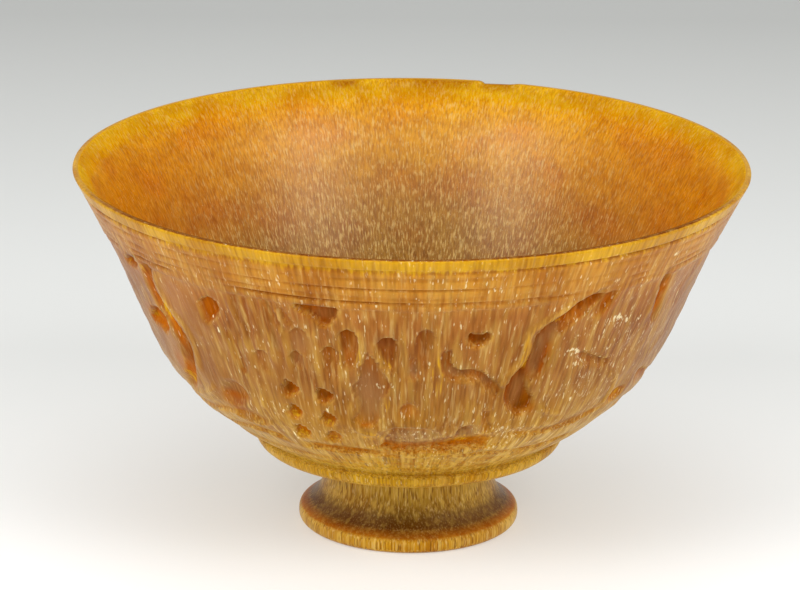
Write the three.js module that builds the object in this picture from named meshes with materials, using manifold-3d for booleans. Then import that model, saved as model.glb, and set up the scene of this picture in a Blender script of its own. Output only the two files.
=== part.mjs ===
// A libation cup of carved horn: a turned bowl with a carved landscape frieze, seated on a turned foot.
// Lengths are millimetres and +Z is up. The origin is the middle of the face that the foot rests on.
// Turns are degrees round the cup, counted from its front, which faces -Y, towards +X.

import * as THREE from 'three';
import { mergeVertices } from 'three/addons/utils/BufferGeometryUtils.js';
import Module from 'manifold-3d';

const wasm = await Module();
wasm.setup();

// Foot
const footHeight = 16.9; // from the table to the shoulder under the bowl
const footRestRadius = 22.5; // outer edge of the face it stands on
const footEdgeRadius = 23.2; // widest, at the edge band
const footEdgeHeight = 3.3; // edge band, top
const footEdgeRound = 0.6;
const footEdgeStep = 0.8; // the flare starts this much inside the edge band
const waistRadius = 17.4;
const flareLowShare = 0.2; // control points of the flare's curve, as shares of its height
const flareHighShare = 0.6;
const footRecessRadius = 16.6; // shallow dish turned under the foot, at its mouth
const footRecessDepth = 6.4;

// Joint between foot and bowl
const beddingGap = 0.3; // room for the adhesive, all over the joint
const spigotRadius = 11;
const spigotHeight = 3;
const spigotChamfer = 0.5;

// Bowl, outside, with heights from its underside
const bowlHeight = 60.8;
const mouthRadius = 70;
const rimFaceWidth = 1.6; // flat polished face on top of the wall
const rimRound = 0.4;
const collarSeatRadius = 28.2; // lower edge of the collar
const collarRadius = 32.5;
const collarHeight = 4.2;
const collarLineDepth = 0.5; // turned line between collar and wall
const collarLineWidth = 0.9;
const wallLowShares = { out: 0.65, up: 0.25 }; // control points of the wall's curve, between collar and rim
const wallHighShares = { out: 0.5, up: 0.37 };

// Bowl, inside
const floorThickness = 6.8; // under the middle of the floor
const floorShare = 0.85; // control points of the inside curve, as shares of mouth and depth
const insideWallShares = { out: 0.67, up: 0.48 };
const cutOverrun = 2; // how far a cutter stands past the face that it opens

// Plain lip, and the band of string lines between it and the frieze
const lipHeight = 2.8;
const lineBandWidth = 9.2;
const lineWidth = 0.8;
const lineDepth = 0.35;
const lineHeightShares = [0.18, 0.33, 0.54, 0.79, 0.98];

// Frieze: where it lies on the wall, and the tools that cut it
const friezeFootHeight = 8.8;
const groundDepth = 0.4; // the ground lies this far behind the turned wall
const streamWidth = 3.8;
const streamDepth = 1.6;
const gorgeWidth = 4.6;
const gorgeDepth = 2;
const grooveWidth = 2.6;
const grooveDepth = 1;
const branchWidth = 2.2;
const branchDepth = 0.9;
const bankWidth = 2;
const bankHeight = 0.4;
const fingerWidth = 3.6;
const fingerDepth = 0.8;
const sharpEndShare = 0.12; // share of a cut's length over which it swells from its point to full width
const longEndShare = 0.6; // the same for an end that fades out
const crescentWidth = 3.2;
const crescentHeight = 3;
const crescentDepth = 0.9;
const shallowPitDepth = 0.8;
const deepPitDepth = 1.3;

// The rim's old loss, at the back
const chipTurn = 163.5;
const chipLength = 9;
const chipDepth = 0.65;

// Facets
const turnSegments = 64;
const cavitySegments = 56;
const friezeSteps = 8;
const insideSteps = 10;
const collarSteps = 3;
const flareSteps = 7;
const recessSteps = 4;
const routeSteps = 2; // steps of a cut for each leg of its route
const cutterSides = 6;
const pitSides = 7;
const pitRings = 4;

// Places on the frieze: [turn in degrees, share of the frieze's height], from the top of each cut down.
const leftStreamShares = [
  [-55.5, 1], [-58, 0.9], [-57, 0.8], [-52.5, 0.66], [-51.7, 0.56], [-54, 0.42], [-61, 0.3],
];
const leftBankShares = [
  [-53.2, 1], [-55.2, 0.88], [-53.5, 0.77], [-50, 0.66], [-49.3, 0.55], [-51.5, 0.42],
];
const gorgeShares = [
  [37.5, 1], [34, 0.95], [30, 0.87], [27, 0.8], [26, 0.7], [24.5, 0.58], [22.5, 0.48], [23.3, 0.37],
];
const gorgeBankShares = [
  [36, 1.02], [31, 0.99], [27, 0.92], [23.6, 0.82], [22.8, 0.7], [21, 0.6], [19.4, 0.48],
];
const grooveShares = [
  [[39, 1], [36.5, 0.87]],
  [[52.5, 1], [54, 0.85], [55.5, 0.72], [58, 0.52]],
  [[-28, 0.09], [-14, 0.1], [-1, 0.08]],
  [[-37, 0.76], [-36.5, 0.52]],
];
const branchShares = [
  [[7, 0.73], [8.5, 0.64], [13, 0.62], [17, 0.55], [19, 0.48]],
  [[36, 0.66], [40, 0.6], [44, 0.54]],
  [[16.5, 0.38], [18, 0.22]],
];
const fingerShares = [
  [[-30.5, 0.68], [-30.5, 0.52]],
  [[-21, 0.86], [-21, 0.6]],
  [[-15.5, 0.77], [-15.5, 0.5]],
  [[-11.5, 0.88], [-11.7, 0.64]],
  [[-7.6, 0.76], [-8.4, 0.5]],
  [[-4.3, 0.85], [-3.6, 0.58]],
  [[2.5, 0.9], [2.7, 0.7]],
];
const sideStreamShares = [
  [[-84, 1], [-88, 0.85], [-85, 0.68], [-89, 0.52], [-94, 0.4]],
  [[78, 0.97], [82, 0.82], [79, 0.66], [84, 0.48], [88, 0.36]],
  [[97, 1], [101, 0.84], [99, 0.66], [95, 0.5]],
  [[-99, 0.98], [-103, 0.8], [-100, 0.62]],
];
const crescentTurns = [-26.2, -18.4];
const crescentShares = [0.47, 0.32, 0.19];

// Hollows that one scoop makes, each with its place, its size across and up, and its depth.
const wedgePit = { turn: -65, share: 0.97, width: 9, height: 4, depth: deepPitDepth };
const beadPit = { turn: -61.5, share: 0.66, width: 8, height: 5, depth: deepPitDepth };
const kidneyTop = { turn: -39, share: 0.88, width: 4.6, height: 4.8, depth: deepPitDepth };
const kidneyFoot = { turn: -42.3, share: 0.83, width: 3.2, height: 4.2, depth: shallowPitDepth };
const halfMoon = { turn: -17.2, share: 0.95, width: 7.6, height: 5.6, depth: deepPitDepth };
const dimple = { turn: -42.5, share: 0.29, width: 7.4, height: 3.8, depth: shallowPitDepth };
const roundPit = { turn: 12.9, share: 0.83, width: 4.6, height: 3.6, depth: deepPitDepth };
const slotPit = { turn: 1, share: 0.66, width: 2.4, height: 5.6, depth: shallowPitDepth };
const lobePit = { turn: -9.5, share: 0.34, width: 5, height: 4.4, depth: shallowPitDepth };
const grotto = { turn: 6, share: 0.17, width: 23, height: 7.4, depth: deepPitDepth };
const lowRightPit = { turn: 55, share: 0.3, width: 5.6, height: 4.4, depth: shallowPitDepth };
const pits = [
  wedgePit, beadPit, kidneyTop, kidneyFoot, halfMoon, dimple, roundPit, slotPit, lobePit, grotto, lowRightPit,
];

const horn = new THREE.MeshStandardMaterial({ color: 0xc08a3e, roughness: 0.35, metalness: 0 });
const darkHorn = new THREE.MeshStandardMaterial({ color: 0x8f6a30, roughness: 0.4, metalness: 0 });

// A closed mesh as a solid that can be joined and cut.
function solidFrom(geometry) {
  geometry.deleteAttribute('normal');
  geometry.deleteAttribute('uv');
  const merged = mergeVertices(geometry);
  return new wasm.Manifold(new wasm.Mesh({
    numProp: 3,
    vertProperties: new Float32Array(merged.attributes.position.array),
    triVerts: new Uint32Array(merged.index.array),
  }));
}

// The solid back as a mesh geometry.
function geometryFrom(solid) {
  const cut = solid.getMesh();
  const geometry = new THREE.BufferGeometry();
  geometry.setAttribute('position', new THREE.BufferAttribute(cut.vertProperties, 3));
  geometry.setIndex(new THREE.BufferAttribute(cut.triVerts, 1));
  geometry.computeVertexNormals();
  return geometry;
}

// A turned form: the outline runs up the outside from the axis and back to it, and +Z is the axis.
function turned(outline, segments) {
  const geometry = new THREE.LatheGeometry(outline, segments);
  geometry.rotateX(Math.PI / 2);
  return geometry;
}

const bowlDepth = bowlHeight - floorThickness;
const lineBandFoot = bowlHeight - lipHeight - lineBandWidth;
const friezeHeight = lineBandFoot - friezeFootHeight;
const wallRun = mouthRadius - collarRadius;
const wallRise = bowlHeight - rimRound - collarHeight;
const wallCurve = new THREE.CubicBezierCurve(
  new THREE.Vector2(collarRadius, collarHeight),
  new THREE.Vector2(collarRadius + wallRun * wallLowShares.out, collarHeight + wallRise * wallLowShares.up),
  new THREE.Vector2(collarRadius + wallRun * wallHighShares.out, collarHeight + wallRise * wallHighShares.up),
  new THREE.Vector2(mouthRadius, bowlHeight - rimRound),
);

// Point of the turned wall at a height over the bowl's underside, and the direction straight out of it.
// The wall's curve ends below the rim's rounded edge, which is as wide as the mouth.
function wallAt(height) {
  let low = 0;
  let high = 1;
  while (high - low > Number.EPSILON) {
    const middle = (low + high) / 2;
    if (wallCurve.getPoint(middle).y < height) {
      low = middle;
    } else {
      high = middle;
    }
  }
  const along = wallCurve.getTangent(low);
  return { point: wallCurve.getPoint(low), outward: new THREE.Vector2(along.y, -along.x) };
}

// Point of the frieze's ground, cut back from the turned wall.
function groundAt(height) {
  const { point, outward } = wallAt(height);
  return { point: point.addScaledVector(outward, -groundDepth), outward };
}

// A place on the frieze with the directions round the cup, up the wall and straight out of it.
function onFrieze(turn, share) {
  const { point, outward } = groundAt(friezeFootHeight + share * friezeHeight);
  const angle = THREE.MathUtils.degToRad(turn);
  const radial = new THREE.Vector3(Math.sin(angle), -Math.cos(angle), 0);
  const centre = radial.clone().multiplyScalar(point.x);
  centre.z = point.y;
  const out = radial.clone().multiplyScalar(outward.x);
  out.z = outward.y;
  const around = new THREE.Vector3(Math.cos(angle), Math.sin(angle), 0);
  return { centre, out, around, up: out.clone().cross(around) };
}

// Radius of the round tool whose cut is this wide and this deep.
function toolRadius(width, depth) {
  return (width * width / 4 + depth * depth) / (2 * depth);
}

// A round section swept along a route on the frieze, pointed at both ends.
// lift is 1 for a gouge cut, whose tool comes from outside the wall, and -1 for a raised bank.
function sweptOnFrieze(routeShares, width, depth, lift, endShare) {
  const route = new THREE.SplineCurve(routeShares.map(([turn, share]) => new THREE.Vector2(turn, share)));
  const steps = routeSteps * (routeShares.length - 1) + routeSteps;
  const radius = toolRadius(width, depth);
  const places = [];
  for (let i = 0; i <= steps; i += 1) {
    const at = route.getPoint(i / steps);
    places.push(onFrieze(at.x, at.y));
  }
  const tip = ({ centre, out }) => centre.clone().addScaledVector(out, lift * depth);
  const positions = [tip(places[0])];
  for (let i = 1; i < steps; i += 1) {
    const along = i / steps;
    const swell = Math.sqrt(Math.min(1, along / sharpEndShare) * Math.min(1, (1 - along) / endShare));
    const { centre, out } = places[i];
    const ahead = places[i + 1].centre.clone().sub(places[i - 1].centre).normalize();
    const side = ahead.clone().cross(out).normalize();
    const axis = centre.clone().addScaledVector(out, lift * swell * (radius - depth));
    for (let k = 0; k < cutterSides; k += 1) {
      const angle = (2 * Math.PI * k) / cutterSides;
      positions.push(axis.clone()
        .addScaledVector(out, -lift * swell * radius * Math.cos(angle))
        .addScaledVector(side, -lift * swell * radius * Math.sin(angle)));
    }
  }
  positions.push(tip(places[steps]));
  const faces = [];
  const ring = (i, k) => 1 + (i - 1) * cutterSides + (k % cutterSides);
  for (let k = 0; k < cutterSides; k += 1) {
    faces.push(0, ring(1, k + 1), ring(1, k));
    for (let i = 1; i < steps - 1; i += 1) {
      faces.push(ring(i, k), ring(i, k + 1), ring(i + 1, k + 1));
      faces.push(ring(i, k), ring(i + 1, k + 1), ring(i + 1, k));
    }
    faces.push(ring(steps - 1, k), ring(steps - 1, k + 1), positions.length - 1);
  }
  const geometry = new THREE.BufferGeometry().setFromPoints(positions);
  geometry.setIndex(faces);
  return solidFrom(geometry);
}

// A hollow with round edges, as one scoop of a spoon gouge leaves.
function scooped({ turn, share, width, height, depth }) {
  const { centre, out, around, up } = onFrieze(turn, share);
  const geometry = new THREE.SphereGeometry(1, pitSides, pitRings);
  geometry.scale(width / 2, height / 2, depth);
  geometry.applyMatrix4(new THREE.Matrix4().makeBasis(around, up, out).setPosition(centre));
  return solidFrom(geometry);
}

// The same places seen in a mirror and turned half round, for the back of the cup.
const toBack = ([turn, share]) => [180 - turn, share];

function friezeRoutes(routes) {
  return [...routes, ...routes.map((route) => route.map(toBack))];
}

function turnedBowl() {
  const outline = [new THREE.Vector2(0, 0)];
  const collar = new THREE.QuadraticBezierCurve(
    new THREE.Vector2(collarSeatRadius, 0),
    new THREE.Vector2(collarRadius, 0),
    new THREE.Vector2(collarRadius, collarHeight - collarLineWidth),
  );
  outline.push(...collar.getPoints(collarSteps));
  outline.push(new THREE.Vector2(collarRadius - collarLineDepth, collarHeight - collarLineWidth / 2));
  outline.push(wallAt(collarHeight).point, wallAt(friezeFootHeight).point);
  for (let i = 0; i <= friezeSteps; i += 1) {
    outline.push(groundAt(friezeFootHeight + friezeHeight * (i / friezeSteps)).point);
  }
  outline.push(wallAt(lineBandFoot).point);
  for (const share of lineHeightShares) {
    const height = lineBandFoot + share * lineBandWidth;
    const { point, outward } = wallAt(height);
    outline.push(wallAt(height - lineWidth / 2).point);
    outline.push(point.clone().addScaledVector(outward, -lineDepth));
    outline.push(wallAt(height + lineWidth / 2).point);
  }
  outline.push(new THREE.Vector2(mouthRadius, bowlHeight - rimRound));
  outline.push(new THREE.Vector2(mouthRadius - rimRound, bowlHeight));
  outline.push(new THREE.Vector2(0, bowlHeight));
  return solidFrom(turned(outline, turnSegments));
}

function cavity() {
  const mouth = mouthRadius - rimFaceWidth;
  const inside = new THREE.CubicBezierCurve(
    new THREE.Vector2(0, floorThickness),
    new THREE.Vector2(mouth * floorShare, floorThickness),
    new THREE.Vector2(mouth * insideWallShares.out, floorThickness + bowlDepth * insideWallShares.up),
    new THREE.Vector2(mouth, bowlHeight),
  );
  const outline = inside.getPoints(insideSteps);
  outline.push(new THREE.Vector2(mouth, bowlHeight + cutOverrun));
  outline.push(new THREE.Vector2(0, bowlHeight + cutOverrun));
  return solidFrom(turned(outline, cavitySegments));
}

function socket() {
  const radius = spigotRadius + beddingGap;
  return solidFrom(turned([
    new THREE.Vector2(0, -cutOverrun),
    new THREE.Vector2(radius, -cutOverrun),
    new THREE.Vector2(radius, spigotHeight),
    new THREE.Vector2(0, spigotHeight),
  ], cavitySegments));
}

// The loss from the rim at the back: a shallow scoop out of its top face.
function rimChip() {
  const angle = THREE.MathUtils.degToRad(chipTurn);
  const out = new THREE.Vector3(Math.sin(angle), -Math.cos(angle), 0);
  const around = new THREE.Vector3(Math.cos(angle), Math.sin(angle), 0);
  const up = new THREE.Vector3(0, 0, 1);
  const centre = out.clone().multiplyScalar(mouthRadius - rimFaceWidth / 2);
  centre.z = bowlHeight;
  const geometry = new THREE.SphereGeometry(1, pitSides, pitRings);
  geometry.scale(chipLength / 2, rimFaceWidth + cutOverrun, chipDepth);
  geometry.applyMatrix4(new THREE.Matrix4().makeBasis(around, out.clone().negate(), up).setPosition(centre));
  return solidFrom(geometry);
}

function carvedBowl() {
  let solid = turnedBowl();
  for (const route of friezeRoutes([leftBankShares, gorgeBankShares])) {
    solid = solid.add(sweptOnFrieze(route, bankWidth, bankHeight, -1, sharpEndShare));
  }
  const cuts = [cavity(), socket(), rimChip()];
  for (const route of [...friezeRoutes([leftStreamShares]), ...sideStreamShares]) {
    cuts.push(sweptOnFrieze(route, streamWidth, streamDepth, 1, sharpEndShare));
  }
  for (const route of friezeRoutes([gorgeShares])) {
    cuts.push(sweptOnFrieze(route, gorgeWidth, gorgeDepth, 1, sharpEndShare));
  }
  for (const route of friezeRoutes(grooveShares)) {
    cuts.push(sweptOnFrieze(route, grooveWidth, grooveDepth, 1, longEndShare));
  }
  for (const route of friezeRoutes(branchShares)) {
    cuts.push(sweptOnFrieze(route, branchWidth, branchDepth, 1, longEndShare));
  }
  for (const route of friezeRoutes(fingerShares)) {
    cuts.push(sweptOnFrieze(route, fingerWidth, fingerDepth, 1, longEndShare));
  }
  const crescents = crescentTurns.flatMap((turn) => crescentShares.map((share) => ({
    turn,
    share,
    width: crescentWidth,
    height: crescentHeight,
    depth: crescentDepth,
  })));
  for (const pit of [...pits, ...crescents]) {
    cuts.push(scooped(pit), scooped({ ...pit, turn: 180 - pit.turn }));
  }
  for (const cut of cuts) {
    solid = solid.subtract(cut);
  }
  return geometryFrom(solid);
}

function turnedFoot() {
  const outline = [];
  const recess = new THREE.QuadraticBezierCurve(
    new THREE.Vector2(0, footRecessDepth),
    new THREE.Vector2(footRecessRadius, footRecessDepth),
    new THREE.Vector2(footRecessRadius, 0),
  );
  outline.push(...recess.getPoints(recessSteps));
  outline.push(new THREE.Vector2(footRestRadius, 0));
  outline.push(new THREE.Vector2(footEdgeRadius, footEdgeRound));
  outline.push(new THREE.Vector2(footEdgeRadius, footEdgeHeight - footEdgeRound));
  outline.push(new THREE.Vector2(footEdgeRadius - footEdgeRound, footEdgeHeight));
  const flareHeight = footHeight - footEdgeHeight;
  const flare = new THREE.CubicBezierCurve(
    new THREE.Vector2(footEdgeRadius - footEdgeStep, footEdgeHeight),
    new THREE.Vector2(waistRadius, footEdgeHeight + flareHeight * flareLowShare),
    new THREE.Vector2(waistRadius, footEdgeHeight + flareHeight * flareHighShare),
    new THREE.Vector2(waistRadius, footHeight),
  );
  outline.push(...flare.getPoints(flareSteps));
  outline.push(new THREE.Vector2(spigotRadius, footHeight));
  outline.push(new THREE.Vector2(spigotRadius, footHeight + spigotHeight - spigotChamfer));
  outline.push(new THREE.Vector2(spigotRadius - spigotChamfer, footHeight + spigotHeight));
  outline.push(new THREE.Vector2(0, footHeight + spigotHeight));
  return turned(outline, turnSegments);
}

const cup = new THREE.Group();

const foot = new THREE.Mesh(turnedFoot(), darkHorn);
foot.name = 'foot';
cup.add(foot);

const bowl = new THREE.Mesh(carvedBowl(), horn);
bowl.name = 'bowl';
bowl.position.z = footHeight + beddingGap;
cup.add(bowl);

export default cup;
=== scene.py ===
import math

import bmesh
import bpy
import numpy as np
from mathutils import Matrix, Vector, noise


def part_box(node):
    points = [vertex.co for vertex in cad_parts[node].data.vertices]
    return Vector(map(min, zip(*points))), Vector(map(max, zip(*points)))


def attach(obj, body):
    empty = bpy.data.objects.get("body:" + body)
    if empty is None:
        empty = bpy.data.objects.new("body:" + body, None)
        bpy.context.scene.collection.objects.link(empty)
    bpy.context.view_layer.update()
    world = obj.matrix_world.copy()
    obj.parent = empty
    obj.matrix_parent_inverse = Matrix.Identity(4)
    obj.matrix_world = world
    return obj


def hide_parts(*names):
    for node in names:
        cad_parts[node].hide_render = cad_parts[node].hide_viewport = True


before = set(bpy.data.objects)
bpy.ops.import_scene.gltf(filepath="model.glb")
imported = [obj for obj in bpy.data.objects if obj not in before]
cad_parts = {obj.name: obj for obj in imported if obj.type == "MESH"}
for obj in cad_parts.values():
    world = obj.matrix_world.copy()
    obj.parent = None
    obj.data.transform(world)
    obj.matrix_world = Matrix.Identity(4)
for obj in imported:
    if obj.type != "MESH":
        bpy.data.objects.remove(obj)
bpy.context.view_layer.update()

bl_info = {
    "name": "Carved Horn Libation Cup",
    "version": (1, 0, 0),
    "blender": (4, 5, 0),
    "location": "View3D > Sidebar > Cup",
    "description": "Turns, carves and finishes a horn libation cup",
    "category": "Object",
}

# Tables and outlines are in millimetres, with heights counted from the table. Turns are in degrees round the
# cup, counted from its front, which faces -Y, towards +X.
MM = 0.001
BOWL_LOW, BOWL_HIGH = (np.array(corner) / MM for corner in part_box("bowl"))
FOOT_HIGH = np.array(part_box("foot")[1]) / MM
CUP_HEIGHT = float(BOWL_HIGH[2])

# The collar at the bowl's lower edge, the socket in its underside and the floor over that.
COLLAR_RADIUS = 32.5
COLLAR_HEIGHT = 4.3
SOCKET_RADIUS = 11.3
SOCKET_DEPTH = 3.0
FLOOR_THICKNESS = 6.8

# The frieze: its lower and its upper edge.
FRIEZE_FOOT = 24.5
FRIEZE_TOP = 66.3

# String lines of the band under the lip: height, the first and last turn where the line is cut clean, and
# its share of the depth.
STRING_LINES = (
    (75.1, -70, 64, 0.9),
    (73.3, -13, 16, 0.7),
    (71.0, -22, 12, 0.7),
    (69.0, -24, 8, 0.6),
    (67.7, -32, 31, 1.0),
)
STRING_LINE_WIDTH = 0.76
STRING_LINE_DEPTH = 0.5
FOOT_LINES = (23.4, 25.7)
FOOT_LINE_REACH = 0.6
FOOT_LINE_DEPTH = 0.25

# Gouge cuts: route of (turn, height) from its top down or from left to right, depth, then for the side to the
# right of a downward route and for the other side how wide the slope is and how steep it is, then how long
# the cut takes to sink in at its start and its end.
CUTS = (
    (((-55.4, 67), (-57.6, 62), (-57.6, 58), (-55.6, 54.6), (-54, 52), (-53.4, 49.4), (-53.8, 46.8),
     (-55, 43.8), (-57.2, 40.8), (-60.2, 38.2), (-63.5, 36.6)), 1.1, 1.9, 1.9, 2, 1.4, 0.6, 5),
    (((36.5, 66.2), (32.5, 64.3), (28.5, 61.3), (26, 58), (25.6, 54), (24.4, 50.5), (22.4, 47.5),
     (22, 44.5), (23.2, 41.8)), 1.4, 3.2, 1.7, 1.9, 5, 1.5, 0.8),
    (((38.8, 66.6), (37.4, 63.8), (36, 60.2)), 0.9, 1.4, 2, 2.6, 1.6, 0.6, 2.5),
    (((52.3, 66.4), (53.3, 62), (54.2, 58), (55.5, 54.5)), 1.1, 2.1, 2, 1.1, 3, 0.4, 5),
    (((7.3, 56.5), (7.4, 53.5), (9.3, 51.3), (13, 50.8), (16.2, 48.4), (19.3, 45.4)), 1, 0.7, 4, 2.6, 1.2,
     2, 2),
    (((35.5, 52.4), (38.5, 50.6), (42, 49.3), (45, 48)), 0.7, 0.8, 3, 2.2, 1.3, 2, 3),
    (((16.3, 41.3), (17.3, 38), (18.2, 35)), 0.7, 1.2, 2, 0.9, 3, 1.2, 1.5),
    (((-37.4, 57), (-36.8, 52), (-36.3, 47.4)), 0.6, 1.2, 2, 1, 3, 2, 0.8),
    (((-26.6, 65.8), (-25.2, 61.6), (-24, 58.4)), 0.5, 0.6, 3, 1, 2, 1.5, 1.5),
    (((-24.4, 65.4), (-22.8, 62.4), (-21.6, 60.4)), 0.5, 0.6, 3, 1, 2, 1.5, 1.5),
    (((-32.6, 65.8), (-33.6, 60), (-34.6, 54)), 0.5, 0.6, 3, 1, 2, 1.5, 3),
    (((-30.8, 65.8), (-31.2, 60), (-31.6, 55.8)), 0.5, 0.6, 3, 1, 2, 1.5, 3),
    (((-28.6, 65.8), (-28.2, 61), (-28, 57)), 0.5, 0.6, 3, 1, 2, 1.5, 3),
    (((-29, 28.8), (-21, 29.3), (-12, 29.1), (-1, 28.7)), 0.8, 3, 1.2, 0.7, 4, 4, 4),
    (((-7.4, 30.7), (-2, 30.4), (4, 31), (9, 30.5), (14, 31.1), (20.5, 30.9)), 1.6, 5.6, 1, 0.8, 5, 1.6,
     2.4),
    (((0.5, 55), (0.8, 52), (0.8, 50.3)), 0.9, 1.2, 2, 1.2, 2, 3, 0.6),
    (((-70, 31.6), (-60, 32.4), (-50, 34.4), (-41, 35.4), (-35.5, 33.6)), 0.5, 2.6, 1.2, 0.7, 3, 5, 3),
    (((-66, 27.6), (-54, 29.2), (-42, 31), (-33, 29.4)), 0.5, 2.4, 1.2, 0.7, 3, 5, 3),
    (((23, 34.4), (33, 33), (43, 33.8), (52, 35.6)), 0.45, 2.4, 1.2, 0.7, 3, 4, 4),
    (((9, 27.6), (22, 28), (36, 26.8), (50, 28.6)), 0.5, 2.4, 1.3, 0.8, 3, 4, 5),
    (((-74.5, 65.6), (-77, 62.6), (-78, 58.8)), 1, 1.4, 2, 2.4, 1.6, 0.6, 2.5),
    (((-96, 34.8), (-84, 35.4), (-72, 35), (-62, 34.4)), 0.9, 0.8, 5, 3.4, 1.2, 3, 4),
    (((61, 41.5), (67, 39.6), (72, 39), (78, 39.4)), 0.9, 0.9, 4, 3, 1.2, 3, 3),
    (((60, 34.2), (70, 33.4), (82, 33.8)), 0.8, 0.8, 4, 2.6, 1.2, 3, 3),
    (((-84.5, 66), (-87.5, 62), (-88.3, 56.5), (-86.6, 51), (-87.4, 46), (-90.5, 41)), 1.3, 2.6, 1.8, 2,
     1.6, 0.8, 5),
    (((77, 66), (81.5, 61.5), (82.6, 56), (81.2, 50.5), (84, 45), (90.5, 40)), 1.4, 2.4, 2, 1.9, 1.8, 0.8,
     4),
)

# Cuts that keep within this turn of the front stand on the back too, turned half round as in a mirror.
BACK_LIMIT = 75

# Banks left standing: route, rise over the ground, half width, how fast they run out at both ends.
BANKS = (
    (((-52.4, 67), (-54.3, 62), (-53.3, 57.4), (-50.6, 54), (-49.8, 50.5), (-50.6, 46), (-52.4, 42)),
     0.42, 1.3, 4),
    (((38, 67.2), (31, 66.2), (28.6, 64), (25, 61.6), (22.6, 58.6), (22.3, 54), (20.8, 50.8),
     (19.2, 47.6), (19, 45)), 0.5, 1.3, 3),
    (((51, 66), (51.6, 60), (53, 55)), 0.2, 1.1, 4),
    (((7.6, 49.2), (12.5, 48.8), (15.5, 46.6), (18.4, 43.6)), 0.2, 1.1, 3),
    (((-9, 29.1), (0, 28.9), (9, 29.1), (20, 29.4)), 0.4, 0.9, 4),
    (((-37.2, 58), (-36.9, 53), (-36.6, 46.5)), 0.35, 0.8, 2),
    (((-34.6, 65), (-33.9, 58), (-32.7, 51)), 0.3, 0.9, 3),
    (((-28.4, 64), (-27.6, 57), (-27.6, 50)), 0.3, 0.9, 3),
    (((-24.9, 61), (-24.3, 55), (-24.3, 49)), 0.3, 0.8, 3),
    (((-18.3, 60.5), (-18, 54), (-18.6, 49)), 0.35, 0.8, 2),
    (((-13.6, 61.5), (-13.4, 55), (-13.9, 48)), 0.35, 0.8, 2),
    (((-9.3, 61.5), (-9.3, 56.5), (-10.6, 51)), 0.4, 0.8, 2),
    (((-7.2, 59), (-5.8, 54.6), (-4.2, 51), (-3.2, 47)), 0.4, 0.8, 2),
    (((-1.6, 60.5), (-1.3, 55), (-1.6, 48), (-1.2, 42)), 0.35, 0.9, 3),
    (((5, 63), (5.2, 57), (5.4, 50)), 0.35, 0.9, 3),
    (((-12.2, 44), (-12.8, 40), (-12, 36.5), (-8.4, 35), (-6.4, 38)), 0.3, 0.8, 2),
    (((-32.5, 46), (-33.5, 41), (-35, 37.5)), 0.3, 0.9, 3),
    (((-48, 36), (-43.5, 33.8), (-37, 33.6), (-32.5, 35.6)), 0.35, 1, 3),
    (((-64, 35.4), (-56, 36.8), (-50, 39.4), (-47.6, 42)), 0.35, 1, 3),
    (((28, 41), (33, 38.4), (38, 37.4)), 0.3, 1, 3),
    (((46, 46), (50.5, 42.4), (51.4, 38), (49.4, 35)), 0.35, 1, 3),
)

# Thumb pits: middle of the arched top as turn and height, width, length down the wall, depth, and the share
# of the depth that is left at the foot of the pit.
THUMBS = (
    (-15.5, 56.5, 3.7, 8.8, 0.8, 0.1),
    (-11.6, 60.9, 4.5, 10.8, 0.95, 0.2),
    (-4.2, 59.7, 4.6, 9.8, 0.95, 0.1),
    (2.9, 61.5, 4.4, 12.5, 0.6, 0.1),
    (-21.2, 60.1, 4.4, 7.6, 0.55, 0.1),
    (-22.7, 54.3, 3.2, 4.6, 0.8, 0.1),
    (-30.6, 53.5, 4, 6.4, 0.5, 0.1),
    (-0.2, 43.6, 4.2, 5, 0.45, 0.2),
    (0.2, 37.4, 12.6, 6.6, 0.6, 0.9),
    (13.2, 37.6, 4.6, 4.8, 0.6, 0.7),
)

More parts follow.
